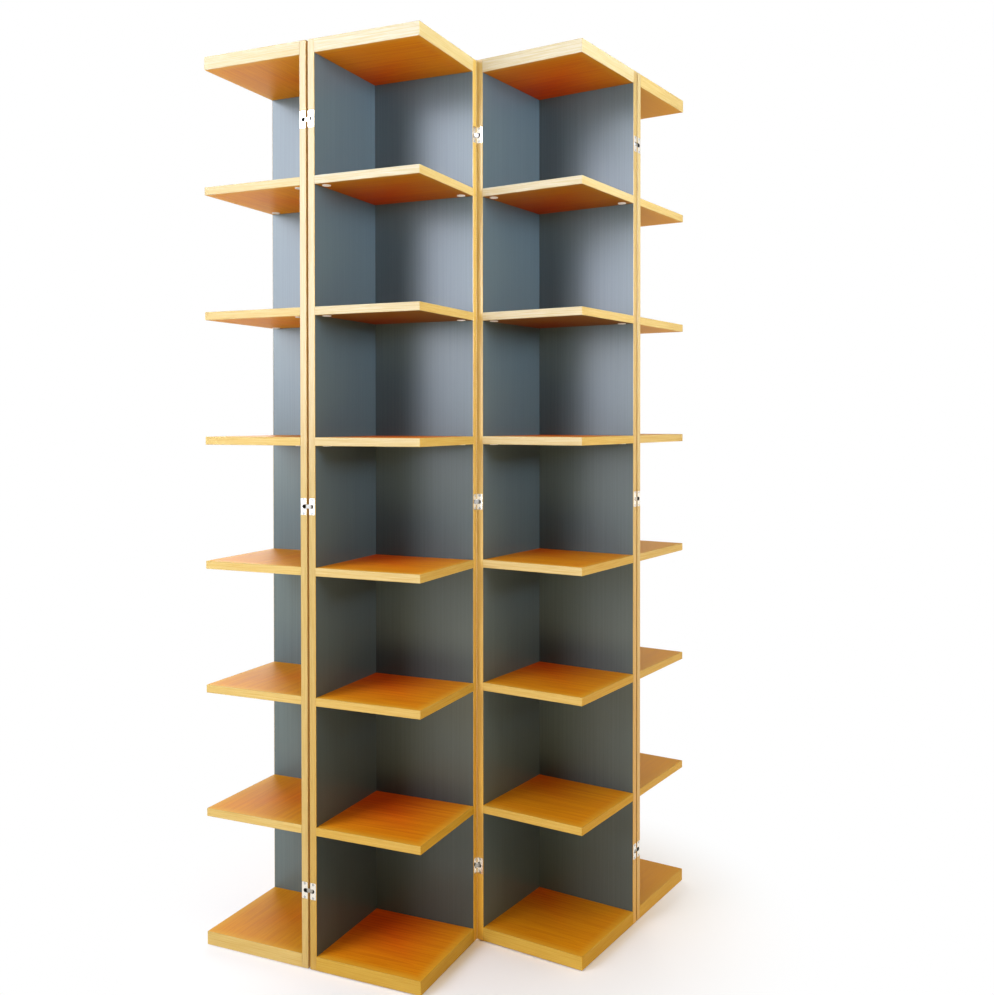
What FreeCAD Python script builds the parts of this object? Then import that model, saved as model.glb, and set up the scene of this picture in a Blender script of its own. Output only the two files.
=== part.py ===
import FreeCAD, Part
import math
import os

# Folding bookcase of four open corner units, hinged one to the next.
# Each unit has two tall panels at a right angle, a thick board at the top and the
# bottom, and six thinner shelves between them. Lengths are in millimetres, +Z is up,
# and the origin is on the floor at the centre of the footprint at rest.

from FreeCAD import Placement, Rotation, Vector

os.makedirs("parts", exist_ok=True)

# One unit, seen in plan
unit_width = 300.0
panel_thickness = 18.0

# Heights
cap_board_thickness = 33.0
shelf_thickness = 20.0
compartment_height = 290.0
shelf_count = 6
edge_ease = 0.8

# Angles between the outer faces of two hinged panels, as the bookcase stands
unit_letters = "abcd"
root_letter = "b"
folded_angle = 0.0
standing_angle = 98.4
rest_angles = {"ab": folded_angle, "bc": standing_angle, "cd": folded_angle}

# Hinge lines
hinge_end_distance = 188.0
closed_gap = 5.5
open_gap = 3.0

# Hinge leaf, let into the end of a panel
leaf_height = 40.0
leaf_margin = 1.0
leaf_plate_thickness = 2.2
leaf_body_height = 26.0
leaf_body_depth = 13.0
mortise_clearance = 0.15

# Link, and the pins that it turns on
pivot_inset = 3.5
pin_diameter = 3.0
pin_bite = 4.0
running_clearance = 0.05
link_eye_radius = 2.7
link_slot_height = 10.0
link_slot_width = 12.5
link_side_clearance = 0.3
link_slot_clearance = 0.8

# Caps of the shelf connectors, on the underside of each shelf beside both panels
cap_diameter = 21.0
cap_height = 1.5
cap_front_distance = 25.0
cap_panel_distance = 18.0

# Glides under the bottom boards
glide_diameter = 22.0
glide_height = 2.0
glide_edge_distance = 34.0

# Caps and glides are small and many, so their rims are drawn with this many sides
rim_sides = 12

# A cut runs this far past the faces that it leaves through
overrun = 1.0

stack_height = (
    2 * cap_board_thickness
    + shelf_count * shelf_thickness
    + (shelf_count + 1) * compartment_height
)
base_level = glide_height
top_level = base_level + stack_height
link_length = closed_gap + 2 * pivot_inset
pivot_depth = (link_length - open_gap) / 2
link_slot_depth = pivot_depth + link_eye_radius + link_slot_clearance
up = Vector(0, 0, 1)


def box(low, high):
    """A block between two opposite corners."""
    size = [b - a for a, b in zip(low, high)]
    return Part.makeBox(*size, Vector(*low))


def eased(shape, wanted):
    """Takes the sharp edge off each edge whose middle point passes the test."""
    edges = [edge for edge in shape.Edges if wanted(edge.CenterOfMass)]
    return shape.makeChamfer(edge_ease, edges)


def near(a, b):
    return abs(a - b) < edge_ease / 2


def hinge_levels():
    middle = (base_level + top_level) / 2
    return [base_level + hinge_end_distance, middle, top_level - hinge_end_distance]


# A unit is drawn with the outer corner of its two panels on the Z axis. The right
# panel runs along +X and the left panel along -Y, so the compartments open to the
# front, which is -Y, and to the right.


def left_panel():
    shape = box((0, -unit_width, base_level), (panel_thickness, 0, top_level))
    return eased(shape, lambda p: near(p.x, 0) or near(p.y, -unit_width))


def right_panel():
    low = (panel_thickness, -panel_thickness, base_level)
    shape = box(low, (unit_width, 0, top_level))

    def outside(p):
        on_butt_end = near(p.x, panel_thickness)
        return near(p.x, unit_width) or (near(p.y, 0) and not on_butt_end)

    return eased(shape, outside)


def board(bottom, thickness):
    """A square board between the panels, with its two free sides eased."""
    low = (panel_thickness, -unit_width, bottom)
    shape = box(low, (unit_width, -panel_thickness, bottom + thickness))

    def free(p):
        on_right = near(p.x, unit_width)
        on_front = near(p.y, -unit_width)
        level = near(p.z, bottom) or near(p.z, bottom + thickness)
        return (on_right or on_front) and (level or (on_right and on_front))

    return eased(shape, free)


def shelf_bottoms():
    first = base_level + cap_board_thickness + compartment_height
    pitch = shelf_thickness + compartment_height
    return [first + pitch * n for n in range(shelf_count)]


# Hinge leaf. It is drawn with X from the outer face of its panel inwards, Y from the
# end face into the panel, and its middle at height zero.


def leaf_block(height, clearance, depth_from, depth_to):
    """A block as wide as the leaf, between two depths below the end face."""
    low = (leaf_margin - clearance, depth_from, -height / 2 - clearance)
    high = (panel_thickness - leaf_margin + clearance, depth_to, height / 2 + clearance)
    return box(low, high)


def link_slot():
    """The pocket that the link folds into, open at the outer face and the end face."""
    radius = link_slot_height / 2
    low = (-overrun, -overrun, -radius)
    straight = box(low, (link_slot_width - radius, link_slot_depth, radius))
    start = Vector(link_slot_width - radius, -overrun, 0)
    length = link_slot_depth + overrun
    round_end = Part.makeCylinder(radius, length, start, Vector(0, 1, 0))
    return straight.fuse(round_end).removeSplitter()


def pin():
    height = link_slot_height + 2 * pin_bite
    start = Vector(pivot_inset, pivot_depth, -height / 2)
    return Part.makeCylinder(pin_diameter / 2, height, start, up)


def leaf():
    """A plate with a body behind it, slotted for the link, with the pin pressed in."""
    plate = leaf_block(leaf_height, 0, 0, leaf_plate_thickness)
    body = leaf_block(leaf_body_height, 0, 0, leaf_body_depth)
    return plate.fuse(body).cut(link_slot()).fuse(pin()).removeSplitter()


def mortise():
    """What is cut from a panel to take a leaf and to let the link swing."""
    plate = leaf_block(leaf_height, mortise_clearance, -overrun, leaf_plate_thickness)
    body = leaf_block(leaf_body_height, mortise_clearance, -overrun, leaf_body_depth)
    low = (-overrun, -overrun, -link_slot_height / 2)
    notch = box(low, (link_slot_width, link_slot_depth, link_slot_height / 2))
    return plate.fuse(body).fuse(notch)


def link():
    """A bar with an eye round each pin, drawn along X with its middle on the Z axis."""
    half = link_length / 2
    height = link_slot_height - 2 * link_side_clearance
    low = (-half, -link_eye_radius, -height / 2)
    shape = box(low, (half, link_eye_radius, height / 2))
    ends = [Vector(x, 0, -height / 2) for x in (-half, half)]
    for base in ends:
        shape = shape.fuse(Part.makeCylinder(link_eye_radius, height, base, up))
    for base in ends:
        bore = pin_diameter / 2 + running_clearance
        shape = shape.cut(Part.makeCylinder(bore, height, base, up))
    return shape.removeSplitter()


def on_left_panel(level):
    return Placement(Vector(0, -unit_width, level), Rotation())


def on_right_panel(level):
    """The same leaf turned over, which swaps its two directions in plan."""
    return Placement(Vector(unit_width, 0, level), Rotation(Vector(1, -1, 0), 180))


def hinged_sides(letter):
    """Where this unit carries leaves: on the left panel, the right panel or both."""
    sides = []
    if letter != unit_letters[0]:
        sides.append(on_left_panel)
    if letter != unit_letters[-1]:
        sides.append(on_right_panel)
    return sides


def placed(shape, placement):
    copy = shape.copy()
    copy.Placement = placement.multiply(copy.Placement)
    return copy


def leaf_places(letter):
    return [side(level) for side in hinged_sides(letter) for level in hinge_levels()]


def with_mortises(panel, side, letter):
    if side in hinged_sides(letter):
        for level in hinge_levels():
            panel = panel.cut(placed(mortise(), side(level)))
    return panel


# Connector caps and glides


def disc(diameter, height, x, y, bottom):
    """A low round plate with a flat for each of its sides."""
    corners = []
    for n in range(rim_sides + 1):
        angle = 2 * math.pi * n / rim_sides
        shift_x = diameter / 2 * math.cos(angle)
        shift_y = diameter / 2 * math.sin(angle)
        corners.append(Vector(x + shift_x, y + shift_y, bottom))
    return Part.Face(Part.makePolygon(corners)).extrude(up * height)


def cap_centres():
    front = unit_width - cap_front_distance
    beside = panel_thickness + cap_panel_distance
    return [(beside, -front), (front, -beside)]


def connector_caps():
    places = [(x, y, bottom) for bottom in shelf_bottoms() for x, y in cap_centres()]
    return [disc(cap_diameter, cap_height, x, y, z - cap_height) for x, y, z in places]


def glides():
    inner = panel_thickness + glide_edge_distance
    outer = unit_width - glide_edge_distance
    places = [(x, -y) for x in (inner, outer) for y in (inner, outer)]
    return [disc(glide_diameter, glide_height, x, y, 0) for x, y in places]


# Where the units stand. A unit's place is its outer corner and its turn in degrees.


def turned_about_z(x, y, degrees):
    angle = math.radians(degrees)
    cosine = math.cos(angle)
    sine = math.sin(angle)
    return x * cosine - y * sine, x * sine + y * cosine


def point_on(place, x, y):
    """A point given in the unit's own plan, in the plan of the whole bookcase."""
    corner_x, corner_y, turn = place
    shift_x, shift_y = turned_about_z(x, y, turn)
    return corner_x + shift_x, corner_y + shift_y


right_pivot = (unit_width - pivot_depth, -pivot_inset)
left_pivot = (pivot_inset, -unit_width + pivot_depth)


def link_direction(turn, angle):
    """From the pin in a right panel to the pin in the next unit's left panel."""
    return turned_about_z(0, link_length, turn - angle / 2)


def next_place(place, angle):
    """The unit hinged to the right panel of a placed unit."""
    turn = place[2] + 90 - angle
    start_x, start_y = point_on(place, *right_pivot)
    link_x, link_y = link_direction(place[2], angle)
    back_x, back_y = turned_about_z(*left_pivot, turn)
    return start_x + link_x - back_x, start_y + link_y - back_y, turn


def previous_place(place, angle):
    """The unit hinged to the left panel of a placed unit."""
    turn = place[2] - 90 + angle
    end_x, end_y = point_on(place, *left_pivot)
    link_x, link_y = link_direction(turn, angle)
    back_x, back_y = turned_about_z(*right_pivot, turn)
    return end_x - link_x - back_x, end_y - link_y - back_y, turn


def unit_places():
    """All units round the root unit, moved so that the footprint is centred."""
    places = {root_letter: (0, 0, 0)}
    root = unit_letters.index(root_letter)
    for n in range(root, 0, -1):
        here, before = unit_letters[n], unit_letters[n - 1]
        places[before] = previous_place(places[here], rest_angles[before + here])
    for n in range(root, len(unit_letters) - 1):
        here, after = unit_letters[n], unit_letters[n + 1]
        places[after] = next_place(places[here], rest_angles[here + after])
    corners = [
        point_on(place, x, -y)
        for place in places.values()
        for x in (0, unit_width)
        for y in (0, unit_width)
    ]
    xs = [x for x, y in corners]
    ys = [y for x, y in corners]
    mid_x = (min(xs) + max(xs)) / 2
    mid_y = (min(ys) + max(ys)) / 2
    return {key: (x - mid_x, y - mid_y, turn) for key, (x, y, turn) in places.items()}


places = unit_places()


def unit_placement(letter):
    x, y, turn = places[letter]
    return Placement(Vector(x, y, 0), Rotation(up, turn))


def export(shape, node):
    shape.exportStep("parts/" + node + ".step")


def export_unit(letter):
    where = unit_placement(letter)

    def keep(name, shape):
        export(placed(shape, where), name + "_" + letter)

    keep("panel_left", with_mortises(left_panel(), on_left_panel, letter))
    keep("panel_right", with_mortises(right_panel(), on_right_panel, letter))
    keep("bottom_board", board(base_level, cap_board_thickness))
    keep("top_board", board(top_level - cap_board_thickness, cap_board_thickness))
    for number, bottom in enumerate(shelf_bottoms(), 1):
        keep("shelf_" + str(number), board(bottom, shelf_thickness))
    keep("connector_caps", Part.makeCompound(connector_caps()))
    keep("glides", Part.makeCompound(glides()))
    keep("hinge_leaves", Part.makeCompound([placed(leaf(), p) for p in leaf_places(letter)]))


def pivots(pair):
    """The pin in the first unit's right panel and the one in the second's left panel."""
    return point_on(places[pair[0]], *right_pivot), point_on(places[pair[1]], *left_pivot)


def export_links(pair):
    (x1, y1), (x2, y2) = pivots(pair)
    turn = math.degrees(math.atan2(y2 - y1, x2 - x1))
    links = []
    for level in hinge_levels():
        middle = Vector((x1 + x2) / 2, (y1 + y2) / 2, level)
        links.append(placed(link(), Placement(middle, Rotation(up, turn))))
    export(Part.makeCompound(links), "hinge_links_" + pair)


for letter in unit_letters:
    export_unit(letter)
for pair in rest_angles:
    export_links(pair)

# The places that the joints and the compartments are stated from
for letter in unit_letters:
    print("unit", letter, *[format(value, ".6f") for value in places[letter]])
for pair in rest_angles:
    first, second = pivots(pair)
    print("pivots", pair, *[format(value, ".6f") for value in (*first, *second)])
print("levels", base_level, top_level, *shelf_bottoms())
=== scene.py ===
import math

import bmesh
import bpy
from mathutils import Matrix, Vector


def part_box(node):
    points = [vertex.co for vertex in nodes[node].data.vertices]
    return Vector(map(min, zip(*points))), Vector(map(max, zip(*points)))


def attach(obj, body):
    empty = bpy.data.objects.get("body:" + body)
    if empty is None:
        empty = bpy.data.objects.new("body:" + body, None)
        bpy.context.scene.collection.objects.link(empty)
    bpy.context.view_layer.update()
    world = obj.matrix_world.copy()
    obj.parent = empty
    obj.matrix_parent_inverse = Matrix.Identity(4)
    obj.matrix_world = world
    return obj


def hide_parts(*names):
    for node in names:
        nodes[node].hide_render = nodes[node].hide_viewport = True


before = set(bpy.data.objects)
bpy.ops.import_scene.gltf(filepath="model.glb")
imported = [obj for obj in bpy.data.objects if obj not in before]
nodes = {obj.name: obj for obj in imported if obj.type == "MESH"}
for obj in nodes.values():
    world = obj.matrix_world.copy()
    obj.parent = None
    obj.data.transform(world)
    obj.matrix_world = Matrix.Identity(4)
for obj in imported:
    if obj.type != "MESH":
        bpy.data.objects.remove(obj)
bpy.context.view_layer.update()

# Folding bookcase of four corner units: slate grey panels, amber veneered shelves, beech lippings,
# nickel plated hinges. Everything is in metres, standing where the frame stands.

mm = 0.001
unitTurns = {"a": -90.0, "b": 0.0, "c": -8.4, "d": 81.6}  # degrees about Z, as each unit stands
hingePairs = ["ab", "bc", "cd"]

board = {
    "unitWidth": 300 * mm, "panelThickness": 18 * mm,
    "shelfPitch": 310 * mm, "unitHeight": 2218 * mm,
    "lipping": 1.5 * mm,  # solid strip glued along each free edge
    "skin": 0.1 * mm,  # whatever is nearer to a face than this lies on it
    "hingeReach": 50 * mm,  # how far from a panel's end its mortises may lie
    "mortiseInset": 0.9 * mm,  # and how far inside the panel's faces and end, at the least
}


# Small tools


def linearColour(hexColour):
    parts = [int(hexColour[i:i + 2], 16) / 255 for i in (1, 3, 5)]
    bent = [c / 12.92 if c <= 0.04045 else ((c + 0.055) / 1.055) ** 2.4 for c in parts]
    return (*bent, 1.0)


def addNode(tree, kind, settings=None, inputs=None):
    node = tree.nodes.new("ShaderNode" + kind)
    for name, value in (settings or {}).items():
        setattr(node, name, value)
    for name, value in (inputs or {}).items():
        if isinstance(value, bpy.types.NodeSocket):
            tree.links.new(value, node.inputs[name])
        else:
            node.inputs[name].default_value = value
    return node


def newMaterial(name):
    material = bpy.data.materials.new(name)
    material.use_nodes = True
    tree = material.node_tree
    tree.nodes.clear()
    return material, tree


def finishMaterial(tree, shader):
    addNode(tree, "OutputMaterial", None, {"Surface": shader.outputs[0]})


# Clearing a mesh's materials puts all its faces back on the first one, so a new mesh isn't cleared
def dress(thing, *finishes):
    if len(thing.data.materials):
        thing.data.materials.clear()
    for finish in finishes:
        thing.data.materials.append(finish)


# Each unit's own axes: the outer corner of its two panels is the origin, the right panel runs
# along +X and the left panel along -Y
def unitMatrix(letter):
    turn = Matrix.Rotation(math.radians(unitTurns[letter]), 4, "Z")
    back = turn.inverted()
    corners = [back @ v.co for v in nodes["panel_left_" + letter].data.vertices]
    corner = Vector((min(p.x for p in corners), max(p.y for p in corners), 0))
    return Matrix.Translation(turn @ corner) @ turn


unitFrames = {letter: unitMatrix(letter) for letter in unitTurns}


# The separate solids of a node, as boxes in the unit's own axes. Points nearer than the reach
# belong to one solid.
def solidBoxes(node, letter, reach):
    back = unitFrames[letter].inverted()
    boxes = []
    for vertex in nodes[node].data.vertices:
        point = back @ vertex.co
        for low, high in boxes:
            if all(low[i] - reach < point[i] < high[i] + reach for i in range(3)):
                for i in range(3):
                    low[i] = min(low[i], point[i])
                    high[i] = max(high[i], point[i])
                break
        else:
            boxes.append((list(point), list(point)))
    return [(Vector(low), Vector(high)) for low, high in boxes]


# Mesh building


def meshObject(name, mesh):
    thing = bpy.data.objects.new(name, mesh)
    bpy.context.scene.collection.objects.link(thing)
    return thing


def fromBmesh(name, bm):
    bmesh.ops.recalc_face_normals(bm, faces=bm.faces)
    mesh = bpy.data.meshes.new(name)
    bm.to_mesh(mesh)
    bm.free()
    return mesh


# Turns a profile of (radius, height) points about the Z axis
def turnedMesh(name, profile, sides):
    bm = bmesh.new()
    angles = [2 * math.pi * n / sides for n in range(sides)]
    rings = []
    for radius, height in profile:
        if radius == 0:
            points = [(0, 0, height)]
        else:
            points = [(radius * math.cos(a), radius * math.sin(a), height) for a in angles]
        rings.append([bm.verts.new(point) for point in points])
    for lower, upper in zip(rings, rings[1:]):
        for n in range(sides):
            corners = [lower[n % len(lower)], lower[(n + 1) % len(lower)],
                       upper[(n + 1) % len(upper)], upper[n % len(upper)]]
            kept = list(dict.fromkeys(corners))
            if len(kept) > 2:
                bm.faces.new(kept)
    return fromBmesh(name, bm)


# A closed prism between two outlines with the same number of points
def addPrism(bm, first, second):
    ends = [[bm.verts.new(point) for point in outline] for outline in (first, second)]
    bm.faces.new(ends[0])
    bm.faces.new(ends[1])
    count = len(first)
    for n in range(count):
        after = (n + 1) % count
        bm.faces.new((ends[0][n], ends[0][after], ends[1][after], ends[1][n]))


def blockMesh(name, low, high):
    bm = bmesh.new()
    bmesh.ops.create_cube(bm, size=1.0)
    middle = (Vector(low) + Vector(high)) / 2
    size = Vector(high) - Vector(low)
    bm.transform(Matrix.Translation(middle) @ Matrix.Diagonal((*size, 1.0)))
    return fromBmesh(name, bm)


# A block whose corners are rounded in its XZ outline, from y = front to y = back
def roundedBlock(name, low, high, front, back, radius, steps):
    outline = []
    centres = [(high[0] - radius, high[1] - radius, 0), (low[0] + radius, high[1] - radius, 90),
               (low[0] + radius, low[1] + radius, 180), (high[0] - radius, low[1] + radius, 270)]
    for x, z, start in centres:
        for n in range(steps + 1):
            a = math.radians(start + 90 * n / steps)
            outline.append((x + radius * math.cos(a), z + radius * math.sin(a)))
    bm = bmesh.new()
    addPrism(bm, [(x, front, z) for x, z in outline], [(x, back, z) for x, z in outline])
    return fromBmesh(name, bm)


softened = {"segments": 2, "fromAngle": 40}  # degrees between two faces whose edge is eased


# The first mesh with the others cut from it or joined to it, and its edges softened
def carved(name, blank, steps, softening=0.0):
    base = meshObject(name, blank)
    helpers = []
    for operation, mesh in steps:
        helper = meshObject(name + "Tool", mesh)
        helpers.append(helper)
        cut = base.modifiers.new(operation, "BOOLEAN")
        cut.operation = operation
        cut.object = helper
        cut.solver = "EXACT"
    if softening:
        soft = base.modifiers.new("soft", "BEVEL")
        soft.width = softening
        soft.segments = softened["segments"]
        soft.limit_method = "ANGLE"
        soft.angle_limit = math.radians(softened["fromAngle"])
    evaluated = base.evaluated_get(bpy.context.evaluated_depsgraph_get())
    result = bpy.data.meshes.new_from_object(evaluated)
    for thing in [base, *helpers]:
        bpy.data.objects.remove(thing)
    return result


# One object holding a copy of the mesh at each matrix
def copies(name, mesh, matrices):
    bm = bmesh.new()
    for matrix in matrices:
        already = len(bm.verts)
        bm.from_mesh(mesh)
        bmesh.ops.transform(bm, matrix=matrix, verts=list(bm.verts)[already:])
    return meshObject(name, fromBmesh(name, bm))


def smoothed(thing, degrees):
    for polygon in thing.data.polygons:
        polygon.use_smooth = True
    thing.data.set_sharp_from_angle(angle=math.radians(degrees))


# What the wood materials share


squarely = 0.9  # a face looks squarely one way where the cosine is above this
turning = {"From Min": 0.3, "From Max": 0.8}  # and counts as more and more turned between these
noiseLimits = (0.3, 0.7)  # most of a noise's values lie between these


# The place and the facing in the unit's own axes, and the distances across a board (thin) and out
# from the back corner (long), both in metres
def woodPlace(tree, letter):
    corner = unitFrames[letter].translation
    turn = -math.radians(unitTurns[letter])
    shift = -(Matrix.Rotation(turn, 3, "Z") @ corner)
    coordinates = addNode(tree, "TexCoord")
    place = addNode(tree, "Mapping", None,
                    {"Vector": coordinates.outputs["Object"], "Location": shift, "Rotation": (0, 0, turn)})
    facing = addNode(tree, "Mapping", {"vector_type": "VECTOR"},
                     {"Vector": coordinates.outputs["Normal"], "Rotation": (0, 0, turn)})
    at = addNode(tree, "SeparateXYZ", None, {0: place.outputs[0]}).outputs
    normal = addNode(tree, "SeparateXYZ", None, {0: facing.outputs[0]}).outputs
    forward = addNode(tree, "Math", {"operation": "MULTIPLY"}, {0: at["Y"], 1: -1.0}).outputs[0]
    forwardFacing = addNode(tree, "Math", {"operation": "MULTIPLY"}, {0: normal["Y"], 1: -1.0}).outputs[0]
    thin = addNode(tree, "Math", {"operation": "MINIMUM"}, {0: at["X"], 1: forward})
    long = addNode(tree, "Math", {"operation": "MAXIMUM"}, {0: at["X"], 1: forward})
    onLeft = addNode(tree, "Math", {"operation": "LESS_THAN"}, {0: at["X"], 1: forward})
    inward = addNode(tree, "Mix", {"data_type": "FLOAT"},
                     {0: onLeft.outputs[0], 2: forwardFacing, 3: normal["X"]})
    level = addNode(tree, "Math", {"operation": "ABSOLUTE"}, {0: normal["Z"]})
    return {"place": place.outputs[0], "height": at["Z"], "thin": thin.outputs[0], "long": long.outputs[0],
            "inward": inward.outputs[0], "level": level.outputs[0],
            "rightward": normal["X"], "upward": normal["Z"]}


# Two masks or tests as one mask of 0 or 1
def bothTrue(tree, first, second):
    masks = []
    for test in (first, second):
        if isinstance(test, tuple):
            value, operation, limit = test
            test = addNode(tree, "Math", {"operation": operation}, {0: value, 1: limit}).outputs[0]
        masks.append(test)
    return addNode(tree, "Math", {"operation": "MULTIPLY"}, {0: masks[0], 1: masks[1]}).outputs[0]


# Streaks of grain: noise squeezed to a real width across the fibres and drawn out along them
def grain(tree, place, sizes, detail, roughness=0.5, distortion=0.0):
    stretched = addNode(tree, "Mapping", {"vector_type": "TEXTURE"}, {"Vector": place, "Scale": sizes})
    noise = addNode(tree, "TexNoise", None, {
        "Vector": stretched.outputs[0], "Scale": 1.0,
        "Detail": detail, "Roughness": roughness, "Distortion": distortion})
    return noise.outputs["Fac"]


# The first colour below the limits, the second above them, and a soft change between
def blended(tree, factor, first, second, limits=noiseLimits):
    spread = addNode(tree, "MapRange", {"interpolation_type": "SMOOTHSTEP"},
                     {"Value": factor, "From Min": limits[0], "From Max": limits[1]})
    return addNode(tree, "Mix", {"data_type": "RGBA"},
                   {0: spread.outputs[0], 6: first, 7: second}).outputs[2]


# A finish's colour or relief with others laid over it one by one, each by its own mask
def layered(tree, base, *layers):
    kind, under, over, result = ("RGBA", 6, 7, 2) if base.type == "RGBA" else ("FLOAT", 2, 3, 0)
    for mask, layer in layers:
        mix = addNode(tree, "Mix", {"data_type": kind}, {0: mask, under: base, over: layer})
        base = mix.outputs[result]
    return base


# Painted shade and light: the colour darkened or lifted with height, by one share at the foot and another at
# the top
def shadedUp(tree, colour, at, foot, top, start=0.0):
    share = addNode(tree, "MapRange", None, {
        "Value": at["height"], "From Min": start, "From Max": board["unitHeight"],
        "To Min": foot, "To Max": top})
    return addNode(tree, "Mix", {"data_type": "RGBA", "blend_type": "MULTIPLY"},
                   {0: 1.0, 6: colour, 7: share.outputs[0]}).outputs[2]


# Painted shade and light as a tint: the colour multiplied by a tone, by a share that grows from one
# height to another and changes on the edges that face the unit's right
def tintedUp(tree, colour, at, tone, start, end, share, rightShare):
    up = addNode(tree, "MapRange", None,
                 {"Value": at["height"], "From Min": start, "From Max": end, "To Max": share})
    right = addNode(tree, "MapRange", None, {"Value": at["rightward"], **turning, "To Max": rightShare})
    both = addNode(tree, "Math", {"operation": "ADD", "use_clamp": True},
                   {0: up.outputs[0], 1: right.outputs[0]})
    return addNode(tree, "Mix", {"data_type": "RGBA", "blend_type": "MULTIPLY"},
                   {0: both.outputs[0], 6: colour, 7: tone}).outputs[2]


# Beech lippings


alike = dict.fromkeys(unitTurns, 1.0)
nowhere = dict.fromkeys(unitTurns, 0.0)

beech = {
    # painted light and shade: how far each unit's lippings are lightened or darkened at the foot, at the
    # top and on the edges that face its right, and how much painted light pales them at the top
    "board": {"pale": "#C5AC6C", "deep": "#B99850", "fleck": "#A5803A",
              "foot": {"a": 1.0, "b": 0.93, "c": 1.03, "d": 1.14}, "top": alike, "right": alike,
              "paintedLightShare": {"a": 1.3, "b": 1.3, "c": 1.5, "d": 0.0}},
    "panel": {"pale": "#BEA465", "deep": "#B19147", "fleck": "#9E7A33",
              "foot": {"a": 1.0, "b": 0.93, "c": 1.5, "d": 1.3},
              "top": {"a": 0.85, "b": 0.84, "c": 0.95, "d": 0.95},
              "right": {"a": 1.0, "b": 1.42, "c": 0.9, "d": 1.0}, "paintedLightShare": nowhere},
    "fibre": 1.3 * mm, "run": 90 * mm,  # the width and length of a streak
    "fleckWidth": 0.7 * mm, "fleckLength": 4 * mm,  # the short rays that beech shows on a cut edge
    "fleckLimits": (0.66, 0.82),
    # painted shade: a deeper gold towards the foot, and on the edges turned from the window
    "gold": (0.97, 0.78, 0.2, 1.0), "goldStart": 950 * mm, "goldEnd": 100 * mm,
    "goldShare": {"a": 0.1, "b": 0.8, "c": 0.8, "d": 0.7},
    "goldRight": {"a": 0.0, "b": 0.55, "c": 0.45, "d": 0.0},
    # and painted light: paler and less yellow towards the top, less so on the edges turned from the window
    "paintedTopLight": (1.0, 1.22, 2.4, 1.0), "topLightStart": 750 * mm, "topLightRight": -0.5,
}


# Solid beech lipping, planed and lacquered: pale honey with fine straight streaks and short dark rays
def beechColour(tree, letter, at, upright):
    tones = beech["panel" if upright else "board"]
    across, along = beech["fibre"], beech["run"]
    sizes = (across, across, along) if upright else (along, along, across)
    streaks = grain(tree, at["place"], sizes, detail=3.0, roughness=0.6, distortion=0.2)
    colour = blended(tree, streaks, linearColour(tones["deep"]), linearColour(tones["pale"]))
    across, along = beech["fleckWidth"], beech["fleckLength"]
    sizes = (across, across, along) if upright else (along, along, across)
    flecks = grain(tree, at["place"], sizes, detail=1.0)
    colour = blended(tree, flecks, colour, linearColour(tones["fleck"]), beech["fleckLimits"])
    # painted shade: a deeper gold towards the foot and on the edges that face the unit's right
    colour = tintedUp(tree, colour, at, beech["gold"], beech["goldStart"], beech["goldEnd"],
                      beech["goldShare"][letter], beech["goldRight"][letter])
    # painted light: paler and less yellow towards the top
    colour = tintedUp(tree, colour, at, beech["paintedTopLight"], beech["topLightStart"], board["unitHeight"],
                      tones["paintedLightShare"][letter], beech["topLightRight"])
    # painted light and shade: each unit's lippings lightened or darkened with height
    colour = shadedUp(tree, colour, at, tones["foot"][letter], tones["top"][letter])
    # painted light and shade: the edges that face the unit's right lightened or darkened
    turned = addNode(tree, "MapRange", None, {
        "Value": at["rightward"], **turning, "To Min": 1.0, "To Max": tones["right"][letter]})
    colour = addNode(tree, "Mix", {"data_type": "RGBA", "blend_type": "MULTIPLY"},
                     {0: 1.0, 6: colour, 7: turned.outputs[0]}).outputs[2]
    return colour, streaks


# Panels


slate = {
    "light": "#535F5B", "dark": "#4B5652", "limits": (0.25, 0.75),
    "fibre": 2.4 * mm, "run": 420 * mm,
    "foot": {"a": 1.25, "b": 0.57, "c": 0.88, "d": 1.0},  # painted light and shade: how far each unit's slate is lightened or darkened at the foot
    "top": {"a": 1.35, "b": 1.03, "c": 0.93, "d": 1.0},  # and at the top
    "roughness": (0.28, 0.34), "bump": 0.05 * mm, "bumpStrength": 0.15, "ior": 1.5,
    "core": "#8A6A45",  # the board's own chips, inside a mortise
    "backPale": "#D2AC6E", "backDeep": "#C09452", "backFibre": 5 * mm, "backRun": 500 * mm,
}


# Where a panel shows its inner veneer, its outer veneer, and the bare board inside a mortise
def panelMasks(tree, at):
    thickness, width = board["panelThickness"], board["unitWidth"]
    skin, inset = board["skin"], board["mortiseInset"]
    inner = bothTrue(tree, (at["inward"], "GREATER_THAN", squarely),
                     (at["thin"], "GREATER_THAN", thickness - skin))
    outer = bothTrue(tree, (at["inward"], "LESS_THAN", -squarely), (at["thin"], "LESS_THAN", skin))
    veneered = (at["long"], "LESS_THAN", width - board["lipping"])
    deep = bothTrue(tree, (at["thin"], "GREATER_THAN", inset), (at["thin"], "LESS_THAN", thickness - inset))
    near = bothTrue(tree, (at["long"], "GREATER_THAN", width - board["hingeReach"]),
                    (at["long"], "LESS_THAN", width - inset))
    mortise = bothTrue(tree, bothTrue(tree, deep, near), (at["level"], "LESS_THAN", squarely))
    return bothTrue(tree, inner, veneered), bothTrue(tree, outer, veneered), mortise


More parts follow.
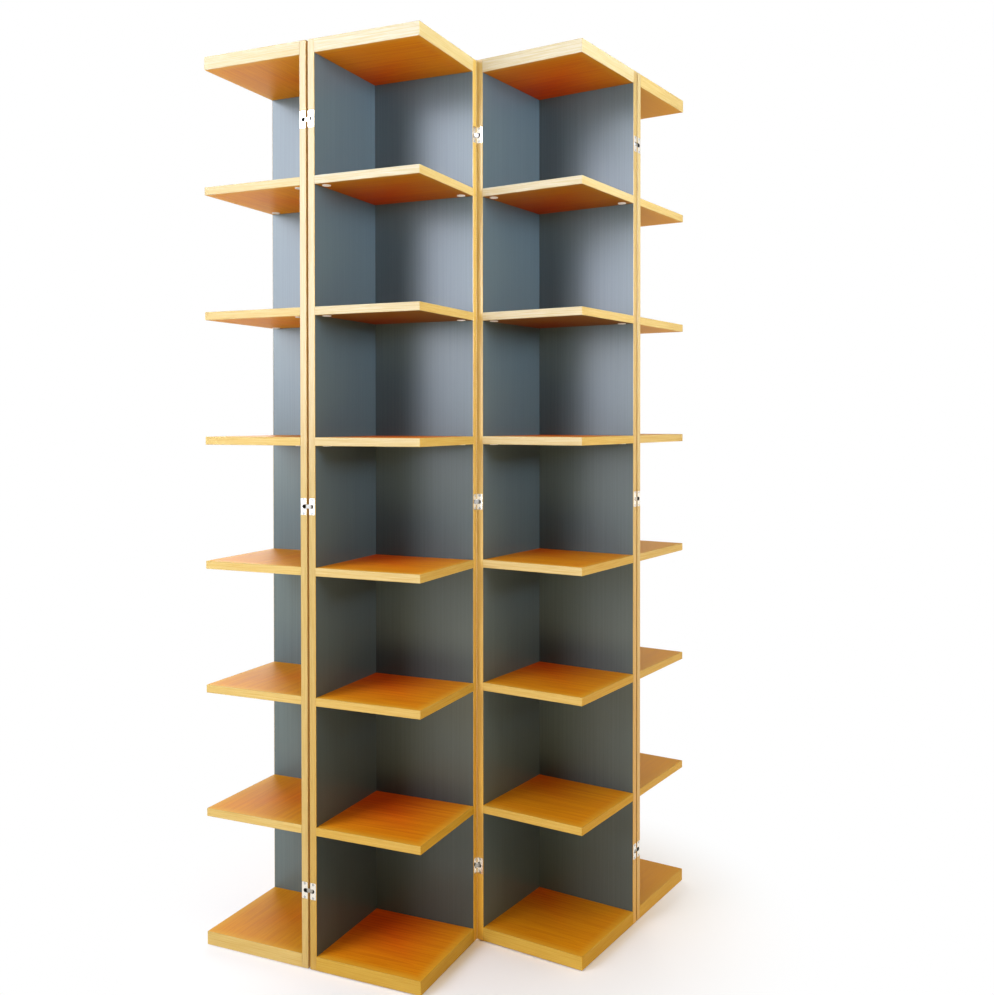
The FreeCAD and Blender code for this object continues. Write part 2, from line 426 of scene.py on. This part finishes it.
# Slate stained veneer on the inner faces under satin lacquer, beech veneer on the outer faces:
# a soft window-like gloss over fine upright streaks
def panelMaterial(letter):
    material, tree = newMaterial("slateStainedVeneer_" + letter)
    at = woodPlace(tree, letter)
    inner, outer, mortise = panelMasks(tree, at)
    sizes = (slate["fibre"], slate["fibre"], slate["run"])
    fibres = grain(tree, at["place"], sizes, detail=5.0, roughness=0.65, distortion=0.3)
    slateTone = blended(tree, fibres, linearColour(slate["dark"]), linearColour(slate["light"]),
                        slate["limits"])
    # painted shade and light: the slate darkened or lightened with height, unit by unit
    slateTone = shadedUp(tree, slateTone, at, slate["foot"][letter], slate["top"][letter])
    sizes = (slate["backFibre"], slate["backFibre"], slate["backRun"])
    figure = grain(tree, at["place"], sizes, detail=6.0, roughness=0.6, distortion=0.8)
    backTone = blended(tree, figure, linearColour(slate["backDeep"]), linearColour(slate["backPale"]))
    lipTone, lipStreaks = beechColour(tree, letter, at, True)
    colour = layered(tree, lipTone, (mortise, linearColour(slate["core"])), (outer, backTone),
                     (inner, slateTone))
    relief = layered(tree, lipStreaks, (inner, fibres))
    bump = addNode(tree, "Bump", None, {
        "Strength": slate["bumpStrength"], "Distance": slate["bump"], "Height": relief})
    gloss = addNode(tree, "MapRange", None, {
        "Value": fibres, "To Min": slate["roughness"][0], "To Max": slate["roughness"][1]})
    shader = addNode(tree, "BsdfPrincipled", None, {
        "Base Color": colour, "Roughness": gloss.outputs[0], "Normal": bump.outputs[0],
        "IOR": slate["ior"]})
    finishMaterial(tree, shader)
    return material


# Boards and shelves


amber = {
    "innerLight": "#E95904", "innerDark": "#D54502",  # redder deep in the unit: painted shade
    "outerLight": "#DA8E0E", "outerDark": "#CC7804",  # paler gold towards the open sides: painted light
    "line": "#A84A05", "lineLimits": (0.6, 0.85),
    # painted light: the veneer paler along its free edges, and a whole unit's boards paler by a share
    "paintedEdgeLight": "#D89F2C", "edgeLightDepth": 30 * mm, "edgeLightShare": 0.7,
    "paintedLightShare": {"a": 0.15, "b": 0.0, "c": 0.0, "d": 0.7},
    # where painted shade gives way to painted light shifts by unit from foot to top, and at random by board
    "shadeShiftFoot": {"a": 25 * mm, "b": -50 * mm, "c": 70 * mm, "d": 60 * mm},
    "shadeShiftTop": {"a": 60 * mm, "b": 15 * mm, "c": -30 * mm, "d": 60 * mm},
    "shadeShiftChance": 60 * mm, "shadeShiftPace": 0.9, "shadeShiftSeed": {"a": 5.3, "b": 0.0, "c": 11.7, "d": 17.1},
    # growth rings, cut flat: their spacing, how far they run, and their scale through the board
    "ring": 9 * mm, "run": 260 * mm, "ringThrough": 27 * mm,
    "pore": 0.8 * mm, "poreRun": 14 * mm, "poreThrough": 3.2 * mm,
    "roughness": (0.49, 0.61), "bump": 0.04 * mm, "bumpStrength": 0.3, "ior": 1.5, "specular": 0.12,
    # painted shade on the undersides: they have one share of the colour up to the fifth shelf's
    # underside, and from there it changes to another at the top
    "underStart": 1565 * mm,
    "underFoot": {"a": 1.0, "b": 0.25, "c": 0.22, "d": 1.0},
    "underTop": {"a": 1.0, "b": 0.8, "c": 0.68, "d": 1.0},
}


# The distance from the back corner that the painted shade and light go by: a point's own, changed
# by its unit's shift at that height and by chance from board to board
def paintedShadeDepth(tree, letter, at):
    step = addNode(tree, "Math", {"operation": "DIVIDE"}, {0: at["height"], 1: board["shelfPitch"]})
    which = addNode(tree, "Math", {"operation": "ADD"}, {0: step.outputs[0], 1: amber["shadeShiftSeed"][letter]})
    noise = addNode(tree, "TexNoise", {"noise_dimensions": "1D"},
                    {"W": which.outputs[0], "Scale": amber["shadeShiftPace"], "Detail": 0.0})
    chance = addNode(tree, "MapRange", None, {
        "Value": noise.outputs["Fac"], "From Min": noiseLimits[0], "From Max": noiseLimits[1],
        "To Min": -amber["shadeShiftChance"] / 2, "To Max": amber["shadeShiftChance"] / 2})
    shadeShift = addNode(tree, "MapRange", None, {
        "Value": at["height"], "From Max": board["unitHeight"],
        "To Min": amber["shadeShiftFoot"][letter], "To Max": amber["shadeShiftTop"][letter]})
    moved = addNode(tree, "Math", {"operation": "ADD"}, {0: at["long"], 1: chance.outputs[0]})
    return addNode(tree, "Math", {"operation": "ADD"}, {0: moved.outputs[0], 1: shadeShift.outputs[0]}).outputs[0]


# The stained veneer's colour on a board's faces with painted shade and light, and its figure and pores
def amberColour(tree, letter, at):
    sizes = (amber["run"], amber["ring"], amber["ringThrough"])
    figure = grain(tree, at["place"], sizes, detail=4.0, roughness=0.55, distortion=1.2)
    inner = blended(tree, figure, linearColour(amber["innerDark"]), linearColour(amber["innerLight"]))
    outer = blended(tree, figure, linearColour(amber["outerDark"]), linearColour(amber["outerLight"]))
    # painted shade deep in the unit, giving way to painted light towards the open sides
    colour = blended(tree, paintedShadeDepth(tree, letter, at), inner, outer,
                     (board["panelThickness"], board["unitWidth"]))
    pores = grain(tree, at["place"], (amber["poreRun"], amber["pore"], amber["poreThrough"]), detail=2.0)
    colour = blended(tree, pores, colour, linearColour(amber["line"]), amber["lineLimits"])
    # painted light: the veneer paler along the free edges, and a whole unit paler by its share
    edgeLight = addNode(tree, "MapRange", {"interpolation_type": "SMOOTHSTEP"}, {
        "Value": at["long"], "From Min": board["unitWidth"] - amber["edgeLightDepth"],
        "From Max": board["unitWidth"], "To Max": amber["edgeLightShare"]})
    paintedEdgeLight = linearColour(amber["paintedEdgeLight"])
    colour = layered(tree, colour, (edgeLight.outputs[0], paintedEdgeLight), (amber["paintedLightShare"][letter], paintedEdgeLight))
    # painted shade: the undersides darkened, the more the lower the board hangs
    under = addNode(tree, "Math", {"operation": "LESS_THAN"}, {0: at["upward"], 1: -squarely})
    darker = shadedUp(tree, colour, at, amber["underFoot"][letter], amber["underTop"][letter],
                      amber["underStart"])
    return layered(tree, colour, (under.outputs[0], darker)), figure, pores


# Amber stained hardwood veneer under satin lacquer, with beech lippings on the free edges:
# warm, saturated, with broad soft figure and short pores
def boardMaterial(letter):
    material, tree = newMaterial("amberStainedVeneer_" + letter)
    at = woodPlace(tree, letter)
    veneered = bothTrue(tree, (at["level"], "GREATER_THAN", squarely),
                        (at["long"], "LESS_THAN", board["unitWidth"] - board["lipping"]))
    veneer, figure, pores = amberColour(tree, letter, at)
    lipTone, lipStreaks = beechColour(tree, letter, at, False)
    colour = layered(tree, lipTone, (veneered, veneer))
    relief = layered(tree, lipStreaks, (veneered, pores))
    bump = addNode(tree, "Bump", None, {
        "Strength": amber["bumpStrength"], "Distance": amber["bump"], "Height": relief})
    gloss = addNode(tree, "MapRange", None, {
        "Value": figure, "To Min": amber["roughness"][0], "To Max": amber["roughness"][1]})
    shader = addNode(tree, "BsdfPrincipled", None, {
        "Base Color": colour, "Roughness": gloss.outputs[0], "Normal": bump.outputs[0],
        "IOR": amber["ior"], "Specular IOR Level": amber["specular"]})
    finishMaterial(tree, shader)
    return material


# Metal and plastic


nickel = {
    "plate": {"tone": "#F0E9DC", "roughness": (0.15, 0.3)},
    "casting": {"tone": "#A5A198", "roughness": (0.25, 0.4)},  # the links, tumbled but not polished
    "hollow": {"tone": "#5C5A55", "roughness": (0.45, 0.6)},  # inside the slots: a darker tone as painted shade in the recess, and a rougher finish
    "gritRun": 1.2 * mm, "grit": 0.4 * mm, "bump": 0.01 * mm, "bumpStrength": 0.3,
}


# Nickel plated zinc: bright and slightly warm where it is polished, duller as cast, with a faint ripple
def nickelMaterial(name, kind):
    material, tree = newMaterial(name)
    finish = nickel[kind]
    coordinates = addNode(tree, "TexCoord")
    sizes = (nickel["gritRun"], nickel["grit"], nickel["grit"])
    ripple = grain(tree, coordinates.outputs["Object"], sizes, detail=2.0)
    gloss = addNode(tree, "MapRange", None, {
        "Value": ripple, "To Min": finish["roughness"][0], "To Max": finish["roughness"][1]})
    bump = addNode(tree, "Bump", None, {
        "Strength": nickel["bumpStrength"], "Distance": nickel["bump"], "Height": ripple})
    shader = addNode(tree, "BsdfPrincipled", None, {
        "Base Color": linearColour(finish["tone"]), "Metallic": 1.0,
        "Roughness": gloss.outputs[0], "Normal": bump.outputs[0]})
    finishMaterial(tree, shader)
    return material


zinc = {"light": "#C4C5C2", "dark": "#A9AAA8", "mottle": 0.6 * mm, "roughness": 0.32}


# Zinc plated steel, cold headed: a cooler, duller grey than the nickel
def screwMaterial():
    material, tree = newMaterial("zincPlatedSteel")
    coordinates = addNode(tree, "TexCoord")
    mottle = grain(tree, coordinates.outputs["Object"], [zinc["mottle"]] * 3, detail=2.0)
    tone = blended(tree, mottle, linearColour(zinc["dark"]), linearColour(zinc["light"]))
    shader = addNode(tree, "BsdfPrincipled", None, {
        "Base Color": tone, "Metallic": 1.0, "Roughness": zinc["roughness"]})
    finishMaterial(tree, shader)
    return material


plastic = {
    "white": {"light": "#F4F3EF", "dark": "#E9E7E1", "roughness": 0.38},
    "black": {"light": "#26262A", "dark": "#18181A", "roughness": 0.5},
    "texture": 0.5 * mm, "bump": 0.02 * mm, "bumpStrength": 0.2, "ior": 1.49,
}


# Moulded plastic: an even colour with the fine matt texture of a sparked mould
def plasticMaterial(name, kind):
    material, tree = newMaterial(name)
    finish = plastic[kind]
    coordinates = addNode(tree, "TexCoord")
    texture = grain(tree, coordinates.outputs["Object"], [plastic["texture"]] * 3, detail=2.0)
    tone = blended(tree, texture, linearColour(finish["dark"]), linearColour(finish["light"]))
    bump = addNode(tree, "Bump", None, {
        "Strength": plastic["bumpStrength"], "Distance": plastic["bump"], "Height": texture})
    shader = addNode(tree, "BsdfPrincipled", None, {
        "Base Color": tone, "Roughness": finish["roughness"], "Normal": bump.outputs[0],
        "IOR": plastic["ior"]})
    finishMaterial(tree, shader)
    return material


nickelPlate = nickelMaterial("nickelPlatedZinc", "plate")
nickelCasting = nickelMaterial("nickelPlatedCasting", "casting")
nickelHollow = nickelMaterial("nickelPlatedHollow", "hollow")
zincPlate = screwMaterial()
whitePlastic = plasticMaterial("whiteMouldedPolystyrene", "white")
blackPlastic = plasticMaterial("blackMouldedPolyethylene", "black")

panelFinishes = {letter: panelMaterial(letter) for letter in unitTurns}
boardFinishes = {letter: boardMaterial(letter) for letter in unitTurns}
for name, thing in nodes.items():
    if name.startswith("panel"):
        dress(thing, panelFinishes[name[-1]])
    elif name.startswith("shelf") or "board" in name:
        dress(thing, boardFinishes[name[-1]])
for pair in hingePairs:
    dress(nodes["hinge_links_" + pair], nickelCasting)
print("wood and metal on the packed pieces")


# Lipping arrises at the middle hinge line


# Where units b and c meet, the lippings' arrises stand proud by a hair, so hardly any daylight shows
# between them. Each is a bead that stops short of the hinge links.
arris = {"proud": 0.27 * mm, "width": 0.9 * mm, "hingeGap": 14 * mm}
leafReach = 20 * mm  # leaves stand much further apart than this


# The stretches of height between a panel's hinges, where the bead runs
def arrisRuns(letter, side):
    low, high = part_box("panel_" + side + "_" + letter)
    leaves = solidBoxes("hinge_leaves_" + letter, letter, leafReach)
    onPanel = [box for box in leaves if (box[0].x < board["panelThickness"]) == (side == "left")]
    runs, start = [], low[2]
    for level in sorted((box[0].z + box[1].z) / 2 for box in onPanel):
        runs.append((start, level - arris["hingeGap"] / 2))
        start = level + arris["hingeGap"] / 2
    return runs + [(start, high[2])]


# A bead astride a corner, in a unit's own axes: along points out of the panel's end, outward out of
# its face, and the bead's tip lies on the diagonal between them
def arrisMesh(name, corner, along, outward, runs):
    width, tip = arris["width"], arris["proud"] * math.sqrt(0.5)
    outline = []
    for out, side in ((-width, 0), (tip, tip), (0, -width), (-width / 2, -width / 2)):
        outline.append(Vector(corner) + out * Vector(along) + side * Vector(outward))
    bm = bmesh.new()
    for low, high in runs:
        addPrism(bm, [(p.x, p.y, low) for p in outline], [(p.x, p.y, high) for p in outline])
    return fromBmesh(name, bm)


for letter, side, corner, along, outward in (
        ("b", "right", (board["unitWidth"], 0), (1, 0), (0, 1)),
        ("c", "left", (0, -board["unitWidth"]), (0, -1), (-1, 0))):
    mesh = arrisMesh("lippingArris_" + letter, corner, along, outward, arrisRuns(letter, side))
    mesh.transform(unitFrames[letter])
    bead = meshObject("lippingArris_" + letter, mesh)
    dress(bead, panelFinishes[letter])
    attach(bead, "unit_" + letter)
print("lipping arrises at the middle hinge")


# Hinge leaves


leaf = {
    "margin": 1 * mm, "height": 40 * mm, "plate": 2.2 * mm, "cornerRadius": 2 * mm, "cornerSteps": 6,
    "bodyHeight": 26 * mm, "bodyDepth": 13 * mm, "bodyStart": 0.5 * mm,
    "inset": 0.02 * mm,  # keeps two outlines from lying exactly on each other
    "slotWidth": 12.5 * mm, "slotHeight": 10 * mm, "slotDepth": 8.25 * mm, "slotSteps": 12,
    "pinInset": 3.5 * mm, "pinDepth": 4.75 * mm, "pinRadius": 1.5 * mm, "pinBite": 4 * mm,
    "softening": 0.25 * mm, "hollowFrom": 0.4 * mm, "sides": 32, "smoothing": 30,
}
screw = {
    "offset": 16.4 * mm,  # up and down from the middle of the leaf
    "headRadius": 2.7 * mm, "headEdge": 0.1 * mm, "sunk": 0.15 * mm,
    "sinkRadius": 3.0 * mm, "sinkDepth": 1.7 * mm, "neckRadius": 1.3 * mm,
    "recessWidth": 0.75 * mm, "recessLength": 3.0 * mm, "recessDepth": 1.0 * mm,
}
overrun = 1 * mm
faceOn = Matrix.Rotation(math.radians(90), 4, "X")  # what was along -Z then looks along +Y, into the panel


# Where a leaf's two screws stand in it
def screwMatrices():
    middle = board["panelThickness"] / 2
    return [Matrix.Translation((middle, 0, side * screw["offset"])) for side in (-1, 1)]


def leafMesh():
    low, high = leaf["margin"], board["panelThickness"] - leaf["margin"]
    half = leaf["height"] / 2
    plate = roundedBlock("plate", (low, -half), (high, half), 0, leaf["plate"],
                         leaf["cornerRadius"], leaf["cornerSteps"])
    half = leaf["bodyHeight"] / 2
    inset = leaf["inset"]
    body = blockMesh("body", (low + inset, leaf["bodyStart"], -half),
                     (high - inset, leaf["bodyDepth"], half))
    half = leaf["slotHeight"] / 2
    slot = roundedBlock("slot", (-leaf["slotWidth"], -half), (leaf["slotWidth"], half),
                        -overrun, leaf["slotDepth"], half - inset, leaf["slotSteps"])
    steps = [("UNION", body), ("DIFFERENCE", slot)]
    radius, neck, depth = screw["sinkRadius"], screw["neckRadius"], screw["sinkDepth"]
    for place in screwMatrices():
        sink = turnedMesh("sink", [(0, overrun), (radius, overrun), (radius, 0), (neck, -depth), (0, -depth)],
                          leaf["sides"])
        sink.transform(place @ faceOn)
        steps.append(("DIFFERENCE", sink))
    result = carved("leafShape", plate, steps, leaf["softening"])
    for polygon in result.polygons:
        # faces behind the plate's front take the second finish, whose dark tone is painted shade in the
        # recess
        polygon.material_index = int(polygon.center.y > leaf["hollowFrom"])
    return result


def pinMesh():
    half = leaf["slotHeight"] / 2 + leaf["pinBite"]
    radius = leaf["pinRadius"]
    rod = turnedMesh("pinShape", [(0, -half), (radius, -half), (radius, half), (0, half)], leaf["sides"])
    rod.transform(Matrix.Translation((leaf["pinInset"], leaf["pinDepth"], 0)))
    return rod


# Two crossed bars, from which a cross recess is cut
def crossSteps(length, width, low, high):
    steps = []
    for x, y in ((length / 2, width / 2), (width / 2, length / 2)):
        steps.append(("DIFFERENCE", blockMesh("cross", (-x, -y, low), (x, y, high))))
    return steps


def screwMesh():
    top, radius, edge = -screw["sunk"], screw["headRadius"], screw["headEdge"]
    neck, depth = screw["neckRadius"], screw["sinkDepth"]
    head = turnedMesh("screwShape", [(0, top), (radius - edge, top), (radius, top - edge), (neck, -depth),
                                     (0, -depth)], leaf["sides"])
    steps = crossSteps(screw["recessLength"], screw["recessWidth"], top - screw["recessDepth"], overrun)
    head = carved("screwShape", head, steps)
    head.transform(faceOn)
    return head


# Where each leaf stands: X from the panel's outer face inwards, Y from its end into the panel
def leafMatrices(letter):
    found = []
    width = board["unitWidth"]
    for low, high in solidBoxes("hinge_leaves_" + letter, letter, leafReach):
        level = (low.z + high.z) / 2
        if low.x < board["panelThickness"]:
            own = Matrix.Translation((0, -width, level))
        else:
            own = Matrix.Translation((width, 0, level)) @ Matrix.Rotation(math.pi, 4, Vector((1, -1, 0)))
        found.append(unitFrames[letter] @ own)
    return found


leafShape = leafMesh()
pinShape = pinMesh()
screwShape = screwMesh()
for letter in unitTurns:
    places = leafMatrices(letter)
    leaves = copies("hingeLeaves_" + letter, leafShape, places)
    dress(leaves, nickelPlate, nickelHollow)
    pins = copies("hingePins_" + letter, pinShape, places)
    dress(pins, zincPlate)
    screws = copies("hingeScrews_" + letter, screwShape, [m @ own for m in places for own in screwMatrices()])
    dress(screws, zincPlate)
    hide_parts("hinge_leaves_" + letter)
    for thing in (leaves, pins, screws):
        smoothed(thing, leaf["smoothing"])
        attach(thing, "unit_" + letter)
print("hinge leaves, pins and screws")


# Connector caps and glides


cap = {
    "radius": 10.5 * mm, "height": 1.5 * mm, "edge": 0.4 * mm, "rim": 2.6 * mm, "dish": 0.5 * mm,
    "camRadius": 5.2 * mm, "camGroove": 0.5 * mm, "camSunk": 0.9 * mm,
    "crossLength": 6.4 * mm, "crossWidth": 1.3 * mm, "crossDepth": 0.7 * mm, "sides": 48,
}
glide = {
    "radius": 11 * mm, "height": 2 * mm, "edge": 0.6 * mm,
    "nailRadius": 4 * mm, "nailDish": 0.7 * mm, "sides": 40,
}
edgeShare = 0.3  # a moulded edge's middle point lies this share of the edge's size off each face
dotReach = 15 * mm  # caps and glides stand further apart than this
dotSmoothing = 35


# A cap hangs with its face down, so it is turned as a cup that opens downwards
def capMesh():
    radius, edge, face = cap["radius"], cap["edge"], -cap["height"]
    inside = radius - cap["rim"]
    cam, groove = cap["camRadius"], cap["camGroove"]
    dish, deep = face + cap["dish"], face + cap["camSunk"]
    profile = [(0, 0), (radius, 0), (radius, face + edge),
               (radius - edge * edgeShare, face + edge * edgeShare), (radius - edge, face),
               (inside, face), (inside - cap["dish"], dish), (cam + groove, dish), (cam + groove, deep),
               (cam, deep), (cam, dish), (0, dish)]
    blank = turnedMesh("capShape", profile, cap["sides"])
    steps = crossSteps(cap["crossLength"], cap["crossWidth"], face - overrun, dish + cap["crossDepth"])
    return carved("capShape", blank, steps)


def glideMesh():
    radius, top, edge = glide["radius"], glide["height"], glide["edge"]
    nail, dish = glide["nailRadius"], glide["nailDish"]
    profile = [(0, top), (radius, top), (radius, edge), (radius - edge * edgeShare, edge * edgeShare),
               (radius - edge, 0), (nail + dish, 0), (nail, dish), (0, dish)]
    return turnedMesh("glideShape", profile, glide["sides"])


# The middle of each of a node's solids, at its upper or lower end
def dotMatrices(node, letter, upper):
    found = []
    for low, high in solidBoxes(node, letter, dotReach):
        middle = (low + high) / 2
        middle.z = high.z if upper else low.z
        found.append(unitFrames[letter] @ Matrix.Translation(middle))
    return found


capShape = capMesh()
glideShape = glideMesh()
for letter in unitTurns:
    caps = copies("connectorCaps_" + letter, capShape, dotMatrices("connector_caps_" + letter, letter, True))
    feet = copies("footGlides_" + letter, glideShape, dotMatrices("glides_" + letter, letter, False))
    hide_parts("connector_caps_" + letter)
    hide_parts("glides_" + letter)
    dress(caps, whitePlastic)
    dress(feet, blackPlastic)
    for thing in (caps, feet):
        smoothed(thing, dotSmoothing)
        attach(thing, "unit_" + letter)
print("connector caps and glides")


# Floor, light and camera


floor = {
    "tone": "#FAF6F1", "roughness": 0.6, "radius": 14.0, "segments": 96,
    "fadeStart": 0.28, "fadeEnd": 0.92,  # from here to there the paint gives way to plain white
}


# The rays that see the white surroundings as they are: the camera's own, and those in metal and gloss
def seenDirectly(tree):
    rays = addNode(tree, "LightPath")
    mirrored = addNode(tree, "Math", {"operation": "MAXIMUM"},
                       {0: rays.outputs["Is Glossy Ray"], 1: rays.outputs["Is Transmission Ray"]})
    return addNode(tree, "Math", {"operation": "MAXIMUM"},
                   {0: rays.outputs["Is Camera Ray"], 1: mirrored.outputs[0]}).outputs[0]


# Matt floor paint near the bookcase, so that its shadow stays, and plain white further out
def floorMaterial():
    material, tree = newMaterial("palePaintedFloor")
    coordinates = addNode(tree, "TexCoord")
    distance = addNode(tree, "VectorMath", {"operation": "LENGTH"}, {0: coordinates.outputs["Object"]})
    fade = addNode(tree, "MapRange", {"interpolation_type": "SMOOTHSTEP"}, {
        "Value": distance.outputs["Value"], "From Min": floor["fadeStart"], "From Max": floor["fadeEnd"]})
    share = addNode(tree, "Math", {"operation": "MULTIPLY"}, {0: fade.outputs[0], 1: seenDirectly(tree)})
    paint = addNode(tree, "BsdfPrincipled", None, {
        "Base Color": linearColour(floor["tone"]), "Roughness": floor["roughness"]})
    white = addNode(tree, "Emission", None, {"Strength": 1.0})
    mix = addNode(tree, "MixShader", None, {0: share.outputs[0], 1: paint.outputs[0], 2: white.outputs[0]})
    finishMaterial(tree, mix)
    return material


def floorMesh():
    bm = bmesh.new()
    bmesh.ops.create_circle(bm, cap_ends=True, segments=floor["segments"], radius=floor["radius"])
    return fromBmesh("paleFloor", bm)


ground = meshObject("paleFloor", floorMesh())
dress(ground, floorMaterial())

daylight = {"background": 1.0, "ambient": 0.06, "sky": "#EDF3FF", "ground": "#EFE0CC", "limits": (-0.5, 0.6)}


def makeWorld():
    world = bpy.data.worlds.new("paleRoom")
    bpy.context.scene.world = world
    world.use_nodes = True
    tree = world.node_tree
    tree.nodes.clear()
    coordinates = addNode(tree, "TexCoord")
    direction = addNode(tree, "SeparateXYZ", None, {0: coordinates.outputs["Generated"]})
    tone = blended(tree, direction.outputs["Z"], linearColour(daylight["ground"]),
                   linearColour(daylight["sky"]), daylight["limits"])
    light = addNode(tree, "Background", None, {"Color": tone, "Strength": daylight["ambient"]})
    white = addNode(tree, "Background", None, {"Color": (1, 1, 1, 1), "Strength": daylight["background"]})
    mix = addNode(tree, "MixShader", None, {0: seenDirectly(tree), 1: light.outputs[0], 2: white.outputs[0]})
    addNode(tree, "OutputWorld", None, {"Surface": mix.outputs[0]})


makeWorld()

# A lamp shines over the whole 180 degrees in front of it unless a narrower spread is given
lamps = {
    "windowLeft": {"place": (-1.9, -3.2, 2.55), "aim": (0.0, -0.2, 1.8), "size": (2.1, 2.6),
                   "watts": 202, "tone": "#E0E9FF"},
    "wallRight": {"place": (3.3, -0.9, 2.6), "aim": (0.1, -0.2, 1.6), "size": (2.2, 1.8),
                  "watts": 50, "tone": "#FFEDCC"},
    "skyRight": {"place": (3.5, -1.2, 2.2), "aim": (0.1, -0.1, 2.1), "size": (1.3, 1.0),
                 "watts": 17, "tone": "#BAD2FF", "spread": 44},
    "floorBounce": {"place": (0.4, -1.9, 0.05), "aim": (0.3, -1.2, 1.6), "size": (2.6, 1.2),
                    "watts": 41, "tone": "#FFE5AE"},
    "wallLow": {"place": (2.6, 1.3, 0.8), "aim": (0.4, 0.0, 0.8), "size": (1.4, 1.4),
                "watts": 22, "tone": "#FFE2B4"},
    "backWall": {"place": (-2.1, 2.9, 2.2), "aim": (0.0, 0.2, 1.2), "size": (2.6, 2.0),
                 "watts": 80, "tone": "#FFF8F0"},
    "ceiling": {"place": (0.2, -1.0, 4.2), "aim": (0.0, 0.0, 1.0), "size": (3.0, 3.0),
                "watts": 52, "tone": "#FFFBF4"},
}

for name, lamp in lamps.items():
    data = bpy.data.lights.new(name, "AREA")
    data.shape = "RECTANGLE"
    data.size, data.size_y = lamp["size"]
    data.energy = lamp["watts"]
    data.color = linearColour(lamp["tone"])[:3]
    data.spread = math.radians(lamp.get("spread", 180))
    thing = bpy.data.objects.new(name, data)
    bpy.context.scene.collection.objects.link(thing)
    thing.visible_camera = False
    thing.location = lamp["place"]
    thing.rotation_euler = (Vector(lamp["aim"]) - Vector(lamp["place"])).to_track_quat("-Z", "Y").to_euler()

photographer = {
    "frame": (994, 995), "focalPixels": 1084.8, "centrePixel": (497.0, 431.9),  # in the photograph's pixels
    "sensor": 36.0,  # millimetres, as Blender's lens is
    "place": (1.2729, -2.6214, 1.3198),
    "azimuth": 24.114, "tiltUp": -0.712, "roll": -0.044,  # degrees, the azimuth counted left from +Y
}


def makeCamera():
    data = bpy.data.cameras.new("camera")
    width, height = photographer["frame"]
    data.sensor_fit = "HORIZONTAL"
    data.sensor_width = photographer["sensor"]
    data.lens = photographer["sensor"] * photographer["focalPixels"] / width
    data.shift_x = (width / 2 - photographer["centrePixel"][0]) / width
    data.shift_y = (photographer["centrePixel"][1] - height / 2) / width
    thing = bpy.data.objects.new("camera", data)
    bpy.context.scene.collection.objects.link(thing)
    turn, tilt = math.radians(photographer["azimuth"]), math.radians(photographer["tiltUp"])
    forward = Vector((-math.sin(turn) * math.cos(tilt), math.cos(turn) * math.cos(tilt), math.sin(tilt)))
    level = forward.to_track_quat("-Z", "Y").to_matrix().to_4x4()
    roll = Matrix.Rotation(math.radians(photographer["roll"]), 4, "Z")
    thing.matrix_world = Matrix.Translation(photographer["place"]) @ level @ roll
    bpy.context.scene.camera = thing


makeCamera()
bpy.context.scene.view_settings.view_transform = "Standard"
print("floor, light and camera")
